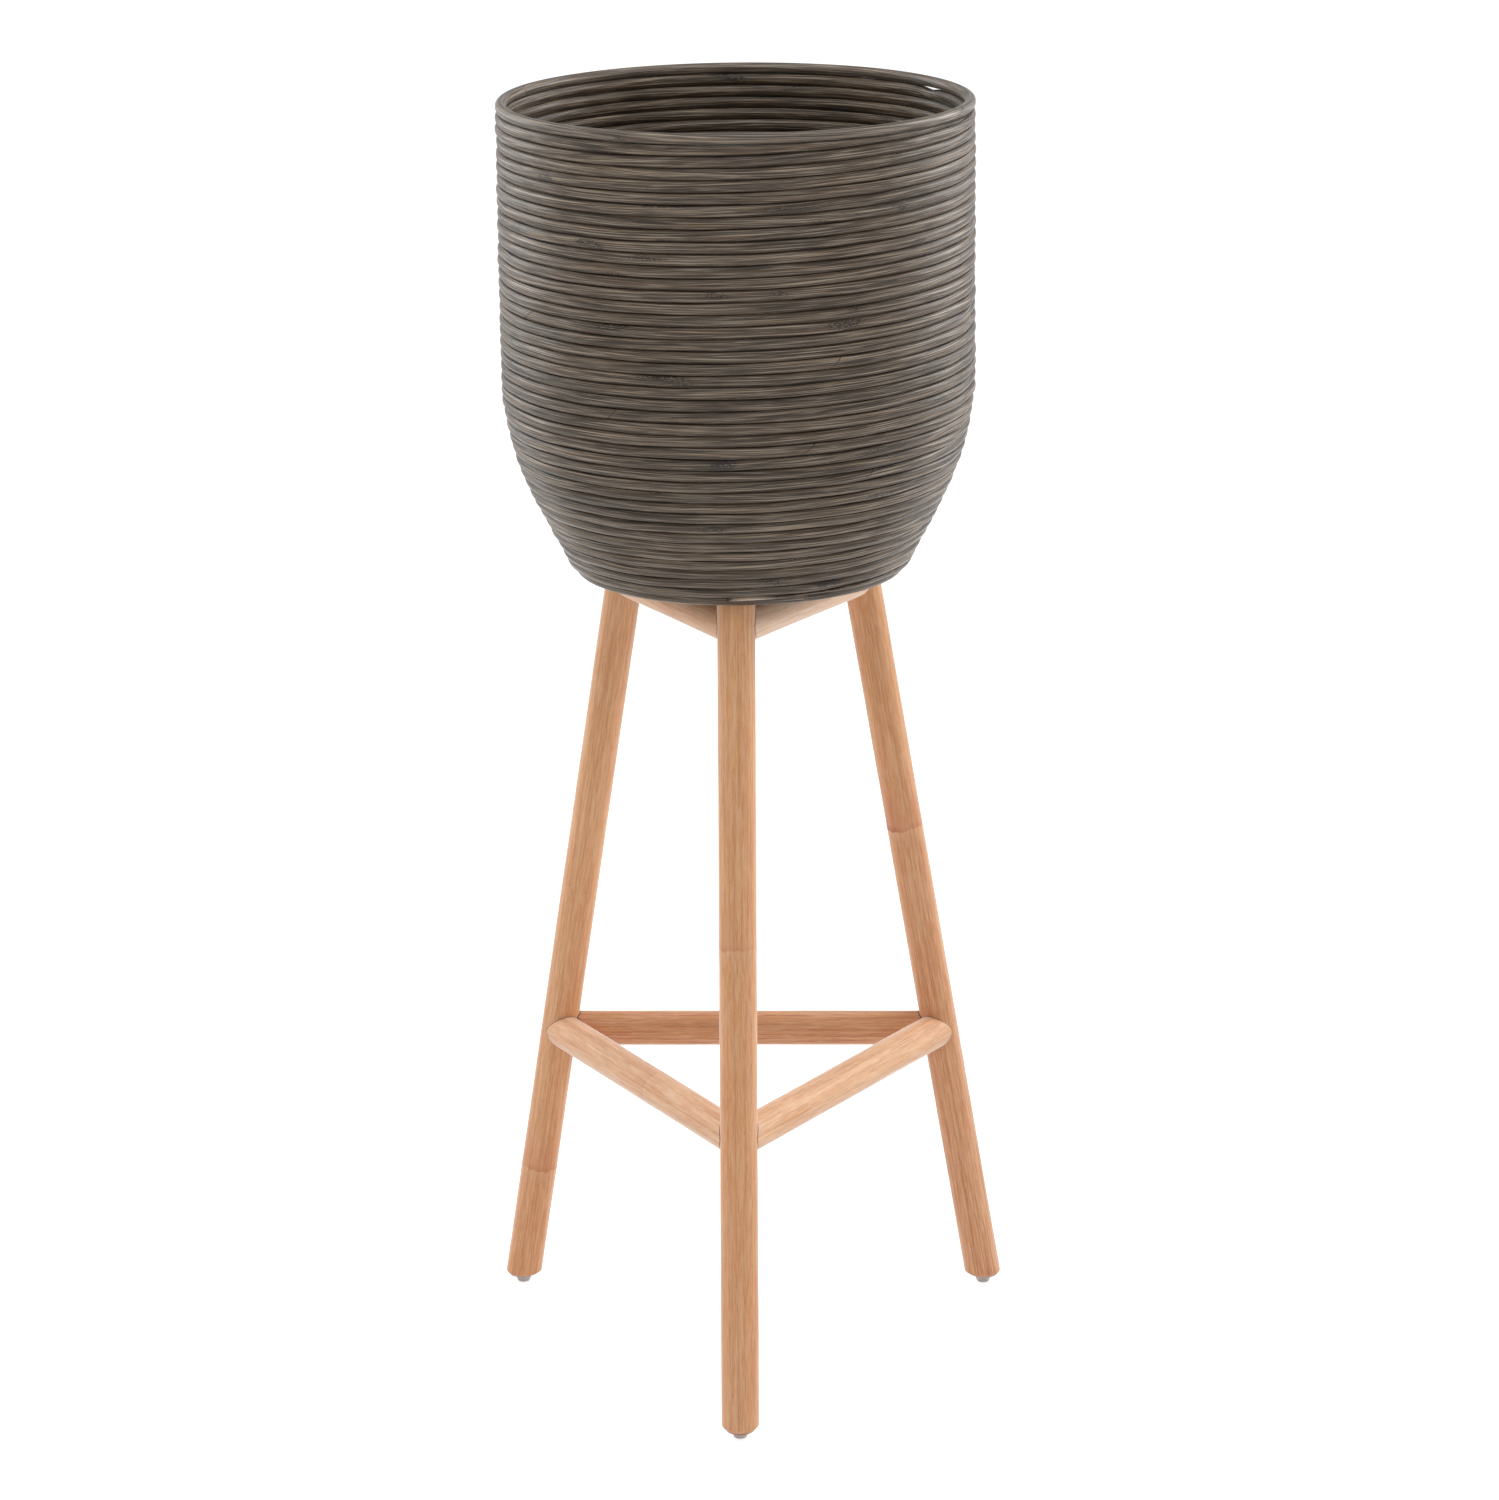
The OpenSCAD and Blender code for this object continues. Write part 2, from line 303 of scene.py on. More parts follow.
def tip_angle(step):
    """Angle at which a climb by step has risen by the gap between two turns and a tip."""
    return math.acos(1 - 2 * (PITCH - 2 * ROD_R + TIP_T) / step)


def wall_path():
    """Columns along the rod's line: x, y and z of its centres, with x where a climb starts, the
    wall's slant, the angle round the turn, the turn's number, and the height of the flat cut."""
    rows = []

    def level(k, start, end):
        r, z, slant = turn_at(k)
        count = int(HALF_TURN_STEPS * (end - start) / math.pi)
        for a in np.linspace(start, end, count, endpoint=False):
            high = ROD_ALONG
            if k == 1 and a < math.pi:
                high = STEP_1 * (1 - math.cos(a)) / 2 - ROD_ALONG
            rows.append((r * math.cos(a), r * math.sin(a), z, slant, a, k, high))

    def climb(k, end):
        r0, z0, slant0 = turn_at(k)
        r1, z1, slant1 = turn_at(k + 1)
        mid_r = (r0 + r1) / 2
        side_r = math.hypot(mid_r, (z1 - z0) / 2)
        count = int(HALF_TURN_STEPS * end / math.pi)
        for a in np.linspace(0, end, count, endpoint=end < math.pi):
            x = (r0 - r1) / 2 + mid_r * math.cos(a)
            z = (z0 + z1) / 2 - (z1 - z0) / 2 * math.cos(a)
            share = (1 - math.cos(a)) / 2
            slant = slant0 + (slant1 - slant0) * share
            high = ROD_ALONG
            if k == TURNS:
                high = TOP_Z + ROD_R + TOP_CUT - z
            rows.append((x, side_r * math.sin(a), z, slant, a, k, high))

    level(1, tip_angle(STEP_1) - LOW_END_MORE, 2 * math.pi)
    for k in range(1, TURNS):
        climb(k, math.pi)
        level(k + 1, math.pi, 2 * math.pi)
    climb(TURNS, math.pi - tip_angle(PITCH))
    return np.array(rows).T


def wall_frames(path_x, path_y, z, slant):
    """World centres, outward direction of the wall and direction along it."""
    ca, sa = math.cos(CLIMB_START), math.sin(CLIMB_START)
    x = path_x * ca - path_y * sa
    y = path_x * sa + path_y * ca
    centres = np.stack([x, y, z], -1)
    out = unit(np.stack([x, y, np.zeros(len(x))], -1))
    slant = slant[:, None]
    across = out * np.cos(slant) - UP * np.sin(slant)
    along = out * np.sin(slant) + UP * np.cos(slant)
    return centres, across, along


def lengths_of(centres):
    """Distance along a line at each of its points."""
    step = np.linalg.norm(np.diff(centres, axis=0), axis=1)
    return np.concatenate([[0], np.cumsum(step)])


# The basket

def nearest_splice(s, y):
    """Signed distance to the nearest slanting splice of the wall's rod, and 1 where it is near."""
    at, length = np.array(SPLICES).T
    nearest = np.abs(s[:, None] - at).argmin(1)
    at, length = at[nearest], length[nearest]
    distance = y - (s - at) * (2 * ROD_ALONG / length)
    return distance, (np.abs(s - at) < length).astype(float)


def splice_tones(s):
    """One tone from 0 to 1 for each length of rod between two splices."""
    cuts = [at for at, length in SPLICES]
    values = np.random.default_rng(SPLICE_TONE_SEED).uniform(0, 1, len(cuts) + 1)
    return values[np.searchsorted(cuts, s)]


def fresh_cut(s, full, cut):
    """How pale the low end's cut is: 1 on the cut face near the end, and 0 elsewhere."""
    fade_in = np.clip(s / FRESH_FROM, 0, 1)
    fade_out = np.clip((FRESH_END - s) / FRESH_FADE, 0, 1)
    return fade_in * fade_out * (full > cut - FRESH_DEPTH)


def make_wall(material):
    """The wall's one rod, wound from its shaved low end to its shaved end under the rim."""
    path_x, path_y, z, slant, angle, turn, high = wall_path()
    centres, across, along = wall_frames(path_x, path_y, z, slant)
    s = lengths_of(centres)
    centres = centres + across * wave(s, *WANDER_ACROSS)[:, None]
    centres = centres + along * wave(s, *WANDER_ALONG)[:, None]

    shaved = np.clip(1 - s / SHAVED_L, 0, 1)
    centres = centres + across * (SHAVED_OUT * shaved)[:, None]
    wedge = np.minimum(high, WEDGE_EDGE_T - ROD_ALONG + WEDGE_RISE * s)
    cut = np.where(s < WEDGE_L, wedge, high)

    # a thin rod is lowered, so that the gap opens over it
    from_thin = (angle - (THIN_AT - CLIMB_START)) * UPRIGHT_R
    thin = np.where(turn == THIN_TURN, np.exp(-(from_thin / THIN_L) ** 2), 0)
    slim = 1 - THIN_BY * thin
    half_across = ROD_ACROSS * slim * (1 + wave(s, *WIDTH_CHANGE))
    half_along = ROD_ALONG * slim
    centres = centres - along * (ROD_ALONG * (1 - slim))[:, None]

    points, inner, full, y = swept_rod(centres, across, along, s, half_across, half_along,
                                       WALL_SIDES, SQUARENESS + SHAVED_SQUARER * shaved, cut)
    s_of_points = np.repeat(s, WALL_SIDES)
    seam, near = nearest_splice(s_of_points, y)
    tone = splice_tones(s_of_points)
    fresh = fresh_cut(s_of_points, full, np.repeat(cut, WALL_SIDES))
    # How near a point is to the rod's upper or lower edge, where the grooves get their stain and
    # painted shade
    groove_stain_and_shade = np.abs(full) / np.repeat(half_along, WALL_SIDES)
    values = [("tone", np.append(tone, [tone[0], tone[-1]])),
              ("seam", np.append(seam, [FAR, FAR])),
              ("near", np.append(near, [0, 0])),
              ("groove_stain_and_shade", np.append(groove_stain_and_shade, [0, 0])),
              ("fresh", np.append(fresh, [0, 0]))]

    caps = centres[[0, -1]] - along[[0, -1]] * (ROD_ALONG - TIP_T / 2)
    points = np.vstack([points, caps])
    inner = np.vstack([inner, [[s[0], 0, 0], [s[-1], 0, 0]]])
    faces = tube_faces(len(s), WALL_SIDES, False)
    add_object("wall_rod", points, faces, "wall_coil", material,
               values, [("rod", inner)])


def make_ring(name, node, r, z, half_across, half_along, splice_at, material, phase, tone):
    """A closed rod round the basket with one slanting splice."""
    t = circle(RING_STEPS)
    out = np.stack([np.cos(t), np.sin(t), np.zeros(RING_STEPS)], -1)
    along = np.tile(UP, (RING_STEPS, 1))
    s = (t - splice_at) % (2 * math.pi) * r
    ripple = sum(np.sin(n * t + share * phase) * height for n, share, height in RING_RIPPLES)
    centres = out * (r + ripple[:, None]) + UP * z
    points, inner, full, y = swept_rod(centres, out, along, s, np.full(RING_STEPS, half_across),
                                       np.full(RING_STEPS, half_along), RING_SIDES, SQUARENESS)

    # distance from the splice both ways, so that it and the fibres jump on the ring's far side
    s_of_points = np.repeat(s, RING_SIDES)
    whole = 2 * math.pi * r
    signed = np.where(s_of_points > whole / 2, s_of_points - whole, s_of_points)
    inner[:, 0] = signed
    # Nearness to the rod's upper and lower edge, for the grooves' stain and painted shade
    values = [("tone", np.full(len(signed), tone)),
              ("seam", y - signed * (2 * half_along / RING_SPLICE_L)),
              ("near", (np.abs(signed) < RING_SPLICE_L).astype(float)),
              ("fresh", np.zeros(len(signed))),
              ("groove_stain_and_shade", np.abs(full) / half_along)]
    faces = tube_faces(RING_STEPS, RING_SIDES, True)
    add_object(name, points, faces, node, material, values, [("rod", inner)])


# The stand

def on_leg(a, z):
    """Point at height z on the middle line of the leg at angle a."""
    r = FOOT_R - (FOOT_R - TOP_R) * z / STAND_H
    return np.array([r * math.cos(a), r * math.sin(a), z])


def leg_axis(a):
    """Foot and direction of the leg at angle a."""
    foot, top = on_leg(a, 0), on_leg(a, STAND_H)
    return foot, unit(top - foot)


def surface_lines(origin, direction, side, radius):
    """Where the lengthwise lines of a pole's surface pass its origin."""
    t = circle(POLE_SIDES)
    other = np.cross(direction, side)
    return origin + (np.cos(t)[:, None] * side + np.sin(t)[:, None] * other) * radius


def cylinder_hits(origin, direction, base, axis, radius):
    """Distances at which lines from the origins along one direction meet a cylinder, or nan."""
    d = direction - axis * direction.dot(axis)
    w = origin - base
    w = w - np.outer(w @ axis, axis)
    qa, qb, qc = d.dot(d), 2 * w @ d, (w * w).sum(1) - radius ** 2
    disc = qb ** 2 - 4 * qa * qc
    root = np.sqrt(np.where(disc < 0, np.nan, disc))
    return (-qb - root) / (2 * qa), (-qb + root) / (2 * qa)


def make_pole(name, node, material, origin, direction, side, radius, start, end,
              growth_rings, band, seed, tone, steps, end_cut=None, painted_end_light=0.0):
    """A pole whose every lengthwise line runs from start to end, so its ends can be coped.
    growth_rings are their places along it, band is how dark they are, and the last argument is
    how much paler the pole is painted at its end than at its start, as painted light."""
    t = circle(POLE_SIDES)
    other = np.cross(direction, side)
    shares = np.unique(np.concatenate([np.linspace(0, 1, steps), END_SHARES, 1 - END_SHARES]))
    along = start[None] * (1 - shares[:, None]) + end[None] * shares[:, None]
    wander = wave(along.ravel(), POLE_WAVES, POLE_WANDER, seed).reshape(along.shape)
    r = radius - POLE_INSET + wander
    distance = np.full(along.shape, FAR)
    for at in growth_rings:
        from_ring = along - at
        r = r + SWELLING * np.exp(-(from_ring / SWELLING_L) ** 2)
        distance = np.where(np.abs(from_ring) < np.abs(distance), from_ring, distance)
    if end_cut is not None:
        r = end_cut(along, r)

    x, y = r * np.cos(t)[None], r * np.sin(t)[None]
    points = origin + along[..., None] * direction + x[..., None] * side + y[..., None] * other
    caps = np.array([origin + direction * start.mean(), origin + direction * end.mean()])
    shift = seed * GRAIN_SHIFT
    inner = np.stack([along + shift, x, y], -1).reshape(-1, 3)
    inner_caps = [[start.mean() + shift, 0, 0], [end.mean() + shift, 0, 0]]
    to_end = np.minimum(along - start[None], end[None] - along)
    # Painted light: the tone rises along the pole, so a leg is painted paler towards its top
    tones = np.repeat(tone + painted_end_light * (shares - 0.5), POLE_SIDES)
    values = [("node_d", np.append(distance.ravel(), [FAR, FAR])),
              ("end_d", np.append(to_end.ravel(), [0, 0])),
              ("band", np.full(len(tones) + 2, band)),
              ("tone", np.append(tones, [tone, tone]))]
    faces = tube_faces(len(shares), POLE_SIDES, False)
    add_object(name, np.vstack([points.reshape(-1, 3), caps]), faces, node, material,
               values, [("rod", np.vstack([inner, inner_caps]))])


def make_leg(key, a, growth_ring, band, seed, tone, material):
    """A leaning leg from the bevel over its glide to its level top under the basket."""
    base, axis = leg_axis(a)
    side = unit(np.cross(UP, axis))
    lines = surface_lines(base, axis, side, LEG_R)
    start = (GLIDE_T - lines[:, 2]) / axis[2]
    end = (STAND_H - lines[:, 2]) / axis[2]

    def bevel(along, r):
        up = along - start[None]
        return np.where(up < FOOT_BEVEL, r - FOOT_BEVEL + up, r)

    make_pole("leg_pole_" + key, "leg_" + key, material, base, axis, side, LEG_R, start, end,
              (growth_ring,), band, seed, tone, LEG_STEPS, bevel, LEG_PAINTED_TOP_LIGHT)


def make_stretcher(level, key, a, b, z, seed, tone, material, partners=(), growth_rings=()):
    """A stretcher from the leg at a to the leg at b, coped round both and round its partners,
    which are other stretchers of its level, each given by the angles of its two legs."""
    p, q = on_leg(a, z), on_leg(b, z)
    direction = unit(q - p)
    length = float(np.linalg.norm(q - p))
    side = np.cross(UP, direction)
    lines = surface_lines(p, direction, side, STRETCHER_R)

    near, far = cylinder_hits(lines, direction, *leg_axis(a), LEG_R + GLUE)
    start = np.fmax(0.0, np.nan_to_num(far, nan=0.0))
    near, far = cylinder_hits(lines, direction, *leg_axis(b), LEG_R + GLUE)
    end = np.fmin(length, np.nan_to_num(near, nan=length))
    for partner_a, partner_b in partners:
        u, v = on_leg(partner_a, z), on_leg(partner_b, z)
        near, far = cylinder_hits(lines, direction, u, unit(v - u), STRETCHER_R + GLUE)
        middle = (near + far) / 2
        low = np.where(middle < length / 2, far, np.nan)
        high = np.where(middle > length / 2, near, np.nan)
        start = np.fmax(start, np.nan_to_num(low, nan=0.0))
        end = np.fmin(end, np.nan_to_num(high, nan=length))
    if a == FRONT:
        # the mitre in the middle plane behind the front leg
        sign = math.copysign(1, direction[0])
        reach = (sign * GLUE / 2 - lines[:, 0]) / direction[0]
        start = np.fmax(start, reach)
    make_pole(level + "_pole_" + key, level + "_stretcher_" + key, material, p, direction, side,
              STRETCHER_R, start, end, growth_rings, STRETCHER_BAND, seed, tone, STRETCHER_STEPS)


def make_glide(key, a, material):
    """The turned glide under the leg at angle a."""
    foot = on_leg(a, GLIDE_T)
    centre = np.array([foot[0], foot[1], 0])
    t = circle(GLIDE_SIDES)
    r, z = np.array(GLIDE_OUTLINE).T[..., None]
    points = np.stack([r * np.cos(t), r * np.sin(t), np.repeat(z, GLIDE_SIDES, 1)], -1) + centre
    caps = np.array([centre + UP * z[0], centre + UP * z[-1]])
    faces = tube_faces(len(GLIDE_OUTLINE), GLIDE_SIDES, False)
    add_object("glide_cap_" + key, np.vstack([points.reshape(-1, 3), caps]), faces,
               "glide_" + key, material)


# Materials

class Shade:
    """Small helper that adds shader nodes to a new material or world."""

    def __init__(self, owner, output="OutputMaterial"):
        owner.use_nodes = True
        self.owner = owner
        self.tree = owner.node_tree
        self.tree.nodes.clear()
        self.out = self.put(output)

    def put(self, kind, inputs=None, **settings):
        node = self.tree.nodes.new("ShaderNode" + kind)
        for key, value in settings.items():
            setattr(node, key, value)
        for key, value in (inputs or {}).items():
            socket = node.inputs[key]
            if isinstance(value, bpy.types.NodeSocket):
                self.tree.links.new(value, socket)
            else:
                socket.default_value = value
        return node

    def value(self, name):
        return self.put("Attribute", attribute_name=name).outputs["Fac"]

    def vector(self, name):
        return self.put("Attribute", attribute_name=name).outputs["Vector"]

    def place(self):
        return self.put("TexCoord").outputs["Object"]

    def noise(self, vector, scale, detail, rough=0.55, move=(0, 0, 0)):
        placed = self.put("Mapping", {"Vector": vector, "Scale": scale, "Location": move})
        node = self.put("TexNoise", {"Vector": placed.outputs[0], "Scale": 1.0,
                                     "Detail": detail, "Roughness": rough})
        return node.outputs["Fac"]

    def span(self, value, low, high, start=0.0, end=1.0):
        """Goes from start to end while value goes from low to high."""
        node = self.put("MapRange", {"Value": value, "From Min": low, "From Max": high,
                                     "To Min": start, "To Max": end}, clamp=True)
        return node.outputs["Result"]

    def maths(self, operation, a, b=0.0):
        return self.put("Math", {0: a, 1: b}, operation=operation).outputs[0]

    def product(self, first, *others):
        for other in others:
            first = self.maths("MULTIPLY", first, other)
        return first

    def mix(self, factor, a, b, blend="MIX"):
        """Colours have the Mix node's sockets 6 and 7 and its output 2."""
        node = self.put("Mix", {0: factor, 6: a, 7: b}, data_type="RGBA", blend_type=blend)
        return node.outputs[2]

    def tinted(self, colour, tint):
        return self.mix(1.0, colour, tint, "MULTIPLY")

    def layer(self, colour, value, low, high, start, end, paint):
        """Paint over a colour, by a share from start to end while value goes from low to high."""
        return self.mix(self.span(value, low, high, start, end), colour, paint)

    def finish(self, colour, roughness, height, distance, strength, **fixed):
        """Close the material with one shader, bumped by height, and with fixed inputs."""
        shader = self.put("BsdfPrincipled", {"Base Color": colour, "Roughness": roughness})
        for key, value in fixed.items():
            shader.inputs[key.replace("_", " ")].default_value = value
        bump = self.put("Bump", {"Height": height, "Distance": distance, "Strength": strength})
        self.tree.links.new(bump.outputs[0], shader.inputs["Normal"])
        return self.show(shader)

    def show(self, shader):
        self.tree.links.new(shader.outputs[0], self.out.inputs["Surface"])
        return self.owner


def new_material(name):
    return Shade(bpy.data.materials.new(name))


def srgb(*steps):
    """Linear colour of an sRGB one given in steps of 255."""
    shares = (step / 255 for step in steps)
    linear = (((c + 0.055) / 1.055) ** 2.4 if c > 0.04045 else c / 12.92 for c in shares)
    return (*linear, 1.0)


def rattan_material():
    """Grey-brown stained rattan: streaks, fibres and knots along the rod, dark grooves where
    two rods touch, which are partly stain and partly painted shade, splices, and the pale cut
    of the low end."""
    m = new_material("stained_rattan")
    rod = m.vector("rod")
    tone = m.value("tone")
    broad = m.noise(rod, (7, 120, 120), 2)
    streak = m.noise(rod, (9, 1200, 1200), 2, 0.6)
    fine = m.noise(rod, (30, 1900, 1900), 1, 0.6, (3, 1, 2))
    warm = m.noise(rod, (10, 520, 520), 2, 0.5, (9, 4, 7))
    dark = m.noise(rod, (10, 480, 480), 2, 0.5, (2, 8, 5))
    knots = m.noise(rod, (24, 90, 90), 0, 0.5, (5, 5, 1))
    ticks = m.noise(rod, (520, 1400, 1400), 1, 0.5, (1, 5, 7))

    colour = m.mix(m.span(broad, 0.38, 0.62), srgb(66, 58, 49), srgb(91, 80, 66))
    colour = m.layer(colour, tone, 0, 1, 0, 0.5, srgb(94, 80, 65))
    colour = m.layer(colour, tone, 1, 2, 0, 0.55, srgb(138, 130, 121))
    colour = m.layer(colour, warm, 0.5, 0.64, 0, 0.6, srgb(120, 94, 70))
    colour = m.layer(colour, dark, 0.52, 0.64, 0, 0.6, srgb(46, 41, 36))
    colour = m.layer(colour, streak, 0.36, 0.5, 0.9, 0, m.tinted(colour, (0.45, 0.44, 0.43, 1)))
    colour = m.layer(colour, streak, 0.53, 0.64, 0, 0.8, srgb(166, 149, 129))
    colour = m.layer(colour, fine, 0.4, 0.5, 0.6, 0, srgb(52, 46, 42))
    colour = m.layer(colour, fine, 0.56, 0.66, 0, 0.5, srgb(170, 156, 140))
    knot = m.product(m.span(knots, 0.74, 0.8), m.span(ticks, 0.42, 0.56))
    colour = m.mix(m.product(knot, 0.9), colour, srgb(38, 33, 30))
    # Dark grooves where two rods touch: partly stain and partly painted shade, darker towards each
    # rod's upper and lower edge
    shade = m.tinted(colour, (0.26, 0.23, 0.21, 1))
    colour = m.layer(colour, m.value("groove_stain_and_shade"), 0.8, 0.99, 0, 0.8, shade)
    seam = m.span(m.maths("ABSOLUTE", m.value("seam")), 0.0002, 0.0006, 1, 0)
    seam = m.product(seam, m.value("near"))
    colour = m.mix(m.product(seam, 0.85), colour, srgb(40, 34, 30))
    colour = m.mix(m.value("fresh"), colour, srgb(240, 216, 196))

    height = m.maths("ADD", m.product(streak, 0.7), m.product(fine, 0.3))
    height = m.maths("SUBTRACT", height, seam)
    return m.finish(colour, m.span(streak, 0.3, 0.7, 0.5, 0.36), height, 0.0004, 0.7,
                    Specular_IOR_Level=0.3, Sheen_Weight=0.3, Sheen_Roughness=0.2)


def pole_material():
    """Peeled pole wood: grain, specks, growth rings with a stained band, and dark joints."""
    m = new_material("pole_wood")
    rod = m.vector("rod")
    tone = m.value("tone")
    broad = m.noise(rod, (5, 45, 45), 2)
    grain = m.noise(rod, (7, 620, 620), 3, 0.6)
    fine = m.noise(rod, (75, 1500, 1500), 2, 0.6, (3, 1, 2))
    red = m.noise(rod, (9, 130, 130), 2, 0.5, (9, 4, 7))
    pale = m.noise(rod, (26, 300, 300), 2, 0.6, (4, 9, 3))
    sides = m.noise(rod, (9, 60, 60), 1, 0.5, (8, 3, 6))
    specks = m.noise(rod, (260, 900, 900), 1, 0.5, (5, 5, 1))
    ragged = m.noise(rod, (60, 260, 260), 2, 0.5, (1, 6, 2))
    dashes = m.noise(rod, (90, 1500, 1500), 1, 0.5, (7, 2, 4))

    colour = m.mix(m.span(tone, 0, 0.5), srgb(197, 131, 89), srgb(222, 164, 114))
    colour = m.layer(colour, tone, 0.5, 1, 0, 1, srgb(216, 172, 136))
    # Tones over 1, which only the upper right stretcher has, are painted light that makes it paler
    colour = m.layer(colour, tone, 1, 2, 0, 1, srgb(252, 226, 202))
    colour = m.layer(colour, broad, 0.35, 0.7, 0, 0.4, srgb(228, 182, 140))
    colour = m.layer(colour, red, 0.5, 0.7, 0, 0.5, srgb(206, 140, 96))
    coarse = m.product(m.span(grain, 0.4, 0.55, 1, 0), m.span(tone, 0, 0.3, 0.85, 0.32))
    colour = m.mix(coarse, colour, srgb(172, 108, 72))
    colour = m.layer(colour, fine, 0.36, 0.5, 0.25, 0, srgb(160, 100, 66))
    colour = m.layer(colour, fine, 0.54, 0.66, 0, 0.25, srgb(240, 206, 170))
    colour = m.layer(colour, specks, 0.72, 0.78, 0, 0.5, srgb(128, 82, 56))
    fleck = m.product(m.span(pale, 0.5, 0.66), m.span(tone, 0.3, 1, 0.2, 0.5))
    colour = m.mix(fleck, colour, srgb(234, 198, 164))

    # d is the distance beyond a growth ring, whose line is ragged and fades round the pole
    d = m.maths("ADD", m.value("node_d"), m.span(ragged, 0.3, 0.7, -0.0012, 0.0012))
    band = m.product(m.value("band"), m.span(sides, 0.35, 0.6, 0.35, 1))
    line = m.product(m.span(d, -0.0006, 0.0003), m.span(d, 0.001, 0.005, 1, 0))
    above = m.product(m.span(d, -0.0006, 0.0003), m.span(d, 0.001, 0.045, 1, 0))
    below = m.product(m.span(d, -0.014, -0.004), m.span(d, -0.0012, -0.0004, 1, 0))
    tail = m.product(m.span(d, -0.032, -0.01), m.span(d, -0.003, -0.001, 1, 0))
    tail = m.product(tail, m.span(dashes, 0.54, 0.64))
    colour = m.mix(m.product(above, band, 0.7), colour, srgb(192, 118, 82))
    colour = m.mix(m.product(line, m.product(band, band), 0.85), colour, srgb(160, 92, 64))
    colour = m.mix(m.product(below, band, 0.5), colour, srgb(222, 178, 142))
    colour = m.mix(m.product(tail, band, 0.5), colour, srgb(160, 100, 68))
    colour = m.layer(colour, m.value("end_d"), 0.0005, 0.0014, 0.85, 0, srgb(96, 58, 38))

    height = m.maths("ADD", m.product(grain, 0.6), m.product(fine, 0.4))
    return m.finish(colour, m.span(grain, 0.3, 0.7, 0.6, 0.5), height, 0.0001, 0.3,
                    Specular_IOR_Level=0.4, Sheen_Weight=0.9, Sheen_Roughness=0.3)


def board_material():
    m = new_material("stained_board")
    place = m.place()
    grain = m.noise(place, (22, 420, 420), 3, 0.6)
    broad = m.noise(place, (5, 28, 28), 3)
    pores = m.noise(place, (130, 1900, 1900), 2, 0.6, (4, 2, 1))
    colour = m.mix(m.span(broad, 0.3, 0.7), srgb(92, 82, 74), srgb(116, 104, 92))
    colour = m.layer(colour, grain, 0.35, 0.65, 0.55, 0, srgb(66, 58, 52))
    colour = m.layer(colour, pores, 0.3, 0.45, 0.5, 0, srgb(42, 37, 34))
    return m.finish(colour, m.span(grain, 0.3, 0.7, 0.7, 0.58), grain, 0.0002, 0.4)


def dowel_material():
    m = new_material("dowel_wood")
    grain = m.noise(m.place(), (300, 300, 1400), 2, 0.6)
    colour = m.mix(m.span(grain, 0.3, 0.7), srgb(226, 200, 160), srgb(206, 174, 130))
    return m.finish(colour, 0.6, grain, 0.0001, 0.3)


def steel_material():
    m = new_material("plated_steel")
    mottle = m.noise(m.place(), (900, 900, 900), 2, 0.5)
    colour = m.mix(m.span(mottle, 0.3, 0.7), (0.52, 0.52, 0.50, 1), (0.64, 0.64, 0.61, 1))
    return m.finish(colour, m.span(mottle, 0.3, 0.7, 0.3, 0.42), mottle, 0.00005, 0.2,
                    Metallic=1.0)


def glide_material():
    m = new_material("glide_plastic")
    place = m.place()
    cloud = m.noise(place, (240, 240, 240), 2, 0.5)
    scuff = m.noise(place, (1600, 1600, 500), 2, 0.6)
    colour = m.mix(m.span(cloud, 0.3, 0.7), srgb(226, 216, 210), srgb(208, 198, 192))
    return m.finish(colour, m.span(scuff, 0.3, 0.7, 0.3, 0.5), scuff, 0.00008, 0.25,
                    Subsurface_Weight=0.25, Transmission_Weight=0.15)


# The pieces

def dress_solids():
    """Materials of the part's own solids that are shown as they are, by how names start."""
    steel = steel_material()
    chosen = (("dowel_", dowel_material()), ("glide_nail", steel), ("base_screw", steel),
              ("base_board", board_material()))
    for name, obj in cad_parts.items():
        for start, material in chosen:
            if name.startswith(start):
                if not obj.data.materials:
                    obj.data.materials.append(material)
                for index in range(len(obj.data.materials)):
                    obj.data.materials[index] = material


def make_basket():
    rattan = rattan_material()
    make_wall(rattan)
    make_ring("rim_rod", "rim_ring", RIM_MID_R, RIM_Z, RIM_R, RIM_R,
              splice_at=math.radians(-21), material=rattan, phase=1.3, tone=2.0)
    make_ring("base_rod", "base_ring", BASE_R, BASE_Z, BASE_ACROSS, ROD_R,
              splice_at=math.radians(115), material=rattan, phase=2.9, tone=0.2)


def make_stand():
    wood = pole_material()
    for key, a, growth_ring, band, seed, tone in LEGS:
        make_leg(key, a, growth_ring, band, seed, tone, wood)
    for level, z, seed, right_tone_and_light in LEVELS:
        make_stretcher(level, "left", FRONT, LEFT, z, seed, LEFT_TONE, wood,
                       growth_rings=(LEFT_RING_AT,))
        make_stretcher(level, "right", FRONT, RIGHT, z, seed + 1, right_tone_and_light, wood)
        make_stretcher(level, "rear", LEFT, RIGHT, z, seed + 2, REAR_TONE, wood,
                       partners=((FRONT, LEFT), (FRONT, RIGHT)))
    plastic = glide_material()
    for key, a in (("front", FRONT), ("left", LEFT), ("right", RIGHT)):
        make_glide(key, a, plastic)


# Studio

def make_world():
    """Even light from all round, and full white where the camera or glass sees the world."""
    m = Shade(bpy.data.worlds.new("studio"), "OutputWorld")
    rays = m.put("LightPath").outputs
    seen = m.maths("MAXIMUM", rays["Is Camera Ray"], rays["Is Transmission Ray"])
    light = m.put("Background", {"Color": WHITE, "Strength": WORLD_LIGHT})
    shown = m.put("Background", {"Color": WHITE, "Strength": 1.0})
    both = m.put("MixShader", {0: seen, 1: light.outputs[0], 2: shown.outputs[0]})
    bpy.context.scene.world = m.show(both)


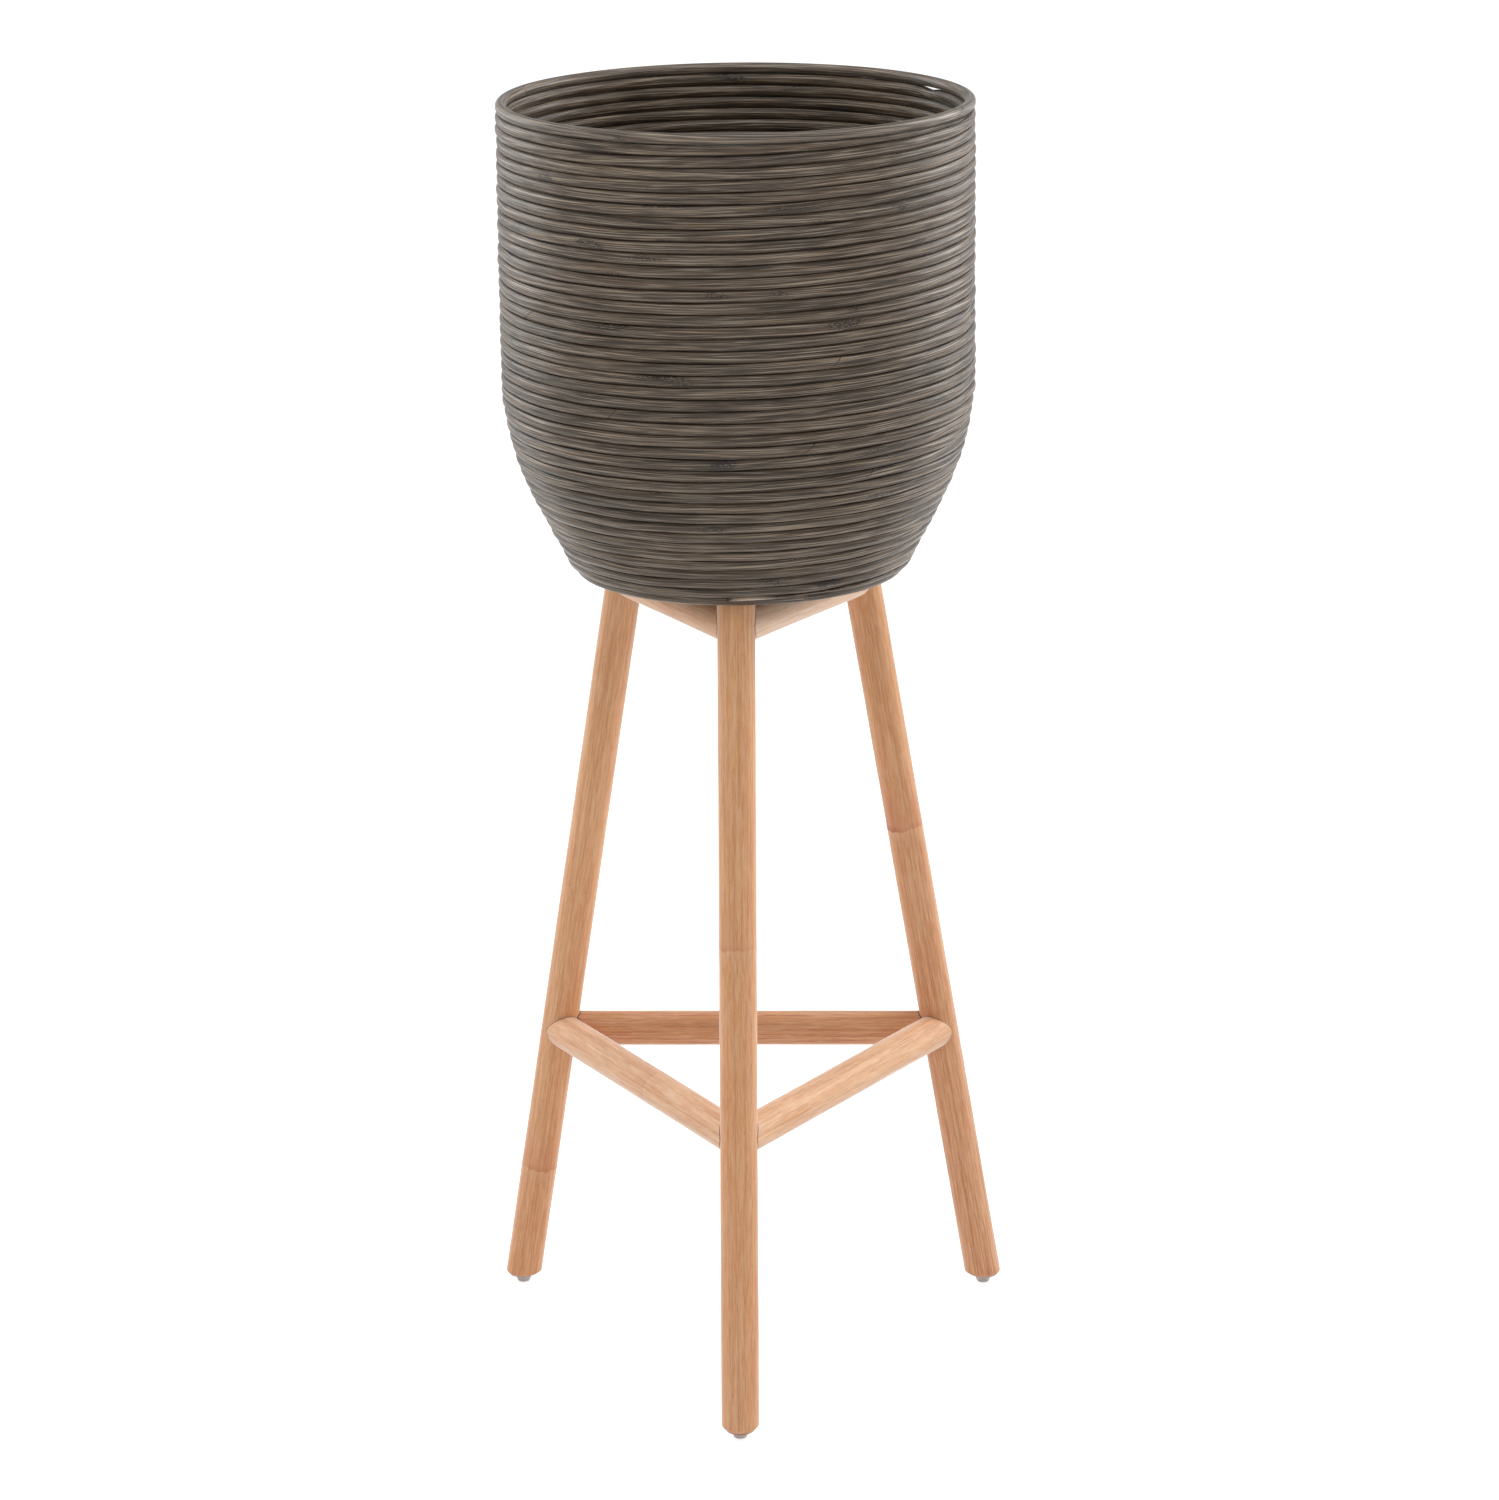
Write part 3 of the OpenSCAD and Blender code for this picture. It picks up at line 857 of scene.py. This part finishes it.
def make_floor():
    """Pale paper that takes the planter's shadow and glows a little where it is seen."""
    m = new_material("floor_paper")
    rays = m.put("LightPath").outputs
    seen = m.maths("MAXIMUM", m.maths("MAXIMUM", rays["Is Camera Ray"], rays["Is Glossy Ray"]),
                   rays["Is Transmission Ray"])
    matt = m.put("BsdfDiffuse", {"Color": FLOOR_COLOUR})
    glow = m.put("Emission", {"Color": WHITE, "Strength": m.product(seen, FLOOR_GLOW)})
    both = m.put("AddShader", {0: matt.outputs[0], 1: glow.outputs[0]})
    mesh = bpy.data.meshes.new("floor")
    h = FLOOR_HALF
    mesh.from_pydata([(-h, -h, 0), (h, -h, 0), (h, h, 0), (-h, h, 0)], [], [(0, 1, 2, 3)])
    mesh.materials.append(m.show(both))
    floor = bpy.data.objects.new("floor", mesh)
    bpy.context.scene.collection.objects.link(floor)


def make_lamp(name, place, aim_z, side, power):
    """A square area lamp that points at the planter's axis."""
    lamp = bpy.data.lights.new(name, "AREA")
    lamp.shape = "RECTANGLE"
    lamp.size = side
    lamp.size_y = side
    lamp.energy = power
    obj = bpy.data.objects.new(name, lamp)
    bpy.context.scene.collection.objects.link(obj)
    obj.location = place
    direction = UP * aim_z - np.array(place)
    obj.rotation_euler = Vector(direction).to_track_quat("-Z", "Y").to_euler()


def make_camera():
    level = math.cos(CAMERA_PITCH)
    forward = np.array([-math.sin(CAMERA_YAW) * level, math.cos(CAMERA_YAW) * level,
                        -math.sin(CAMERA_PITCH)])
    side = unit(np.cross(forward, UP))
    over = np.cross(side, forward)
    right = side * math.cos(CAMERA_ROLL) + over * math.sin(CAMERA_ROLL)
    up = over * math.cos(CAMERA_ROLL) - side * math.sin(CAMERA_ROLL)
    data = bpy.data.cameras.new("camera")
    data.sensor_fit = "HORIZONTAL"
    data.sensor_width = SENSOR_WIDTH_MM
    data.lens = FOCAL_PX / PHOTO_WIDTH_PX * SENSOR_WIDTH_MM
    data.clip_end = 60.0
    obj = bpy.data.objects.new("camera", data)
    bpy.context.scene.collection.objects.link(obj)
    turn = Matrix([(right[i], up[i], -forward[i]) for i in range(3)]).to_4x4()
    obj.matrix_world = Matrix.Translation(CAMERA_AT) @ turn
    bpy.context.scene.camera = obj


dress_solids()
make_basket()
make_stand()

bpy.context.scene.view_settings.view_transform = "Standard"
make_world()
make_floor()
for lamp_values in LAMPS:
    make_lamp(*lamp_values)
make_camera()
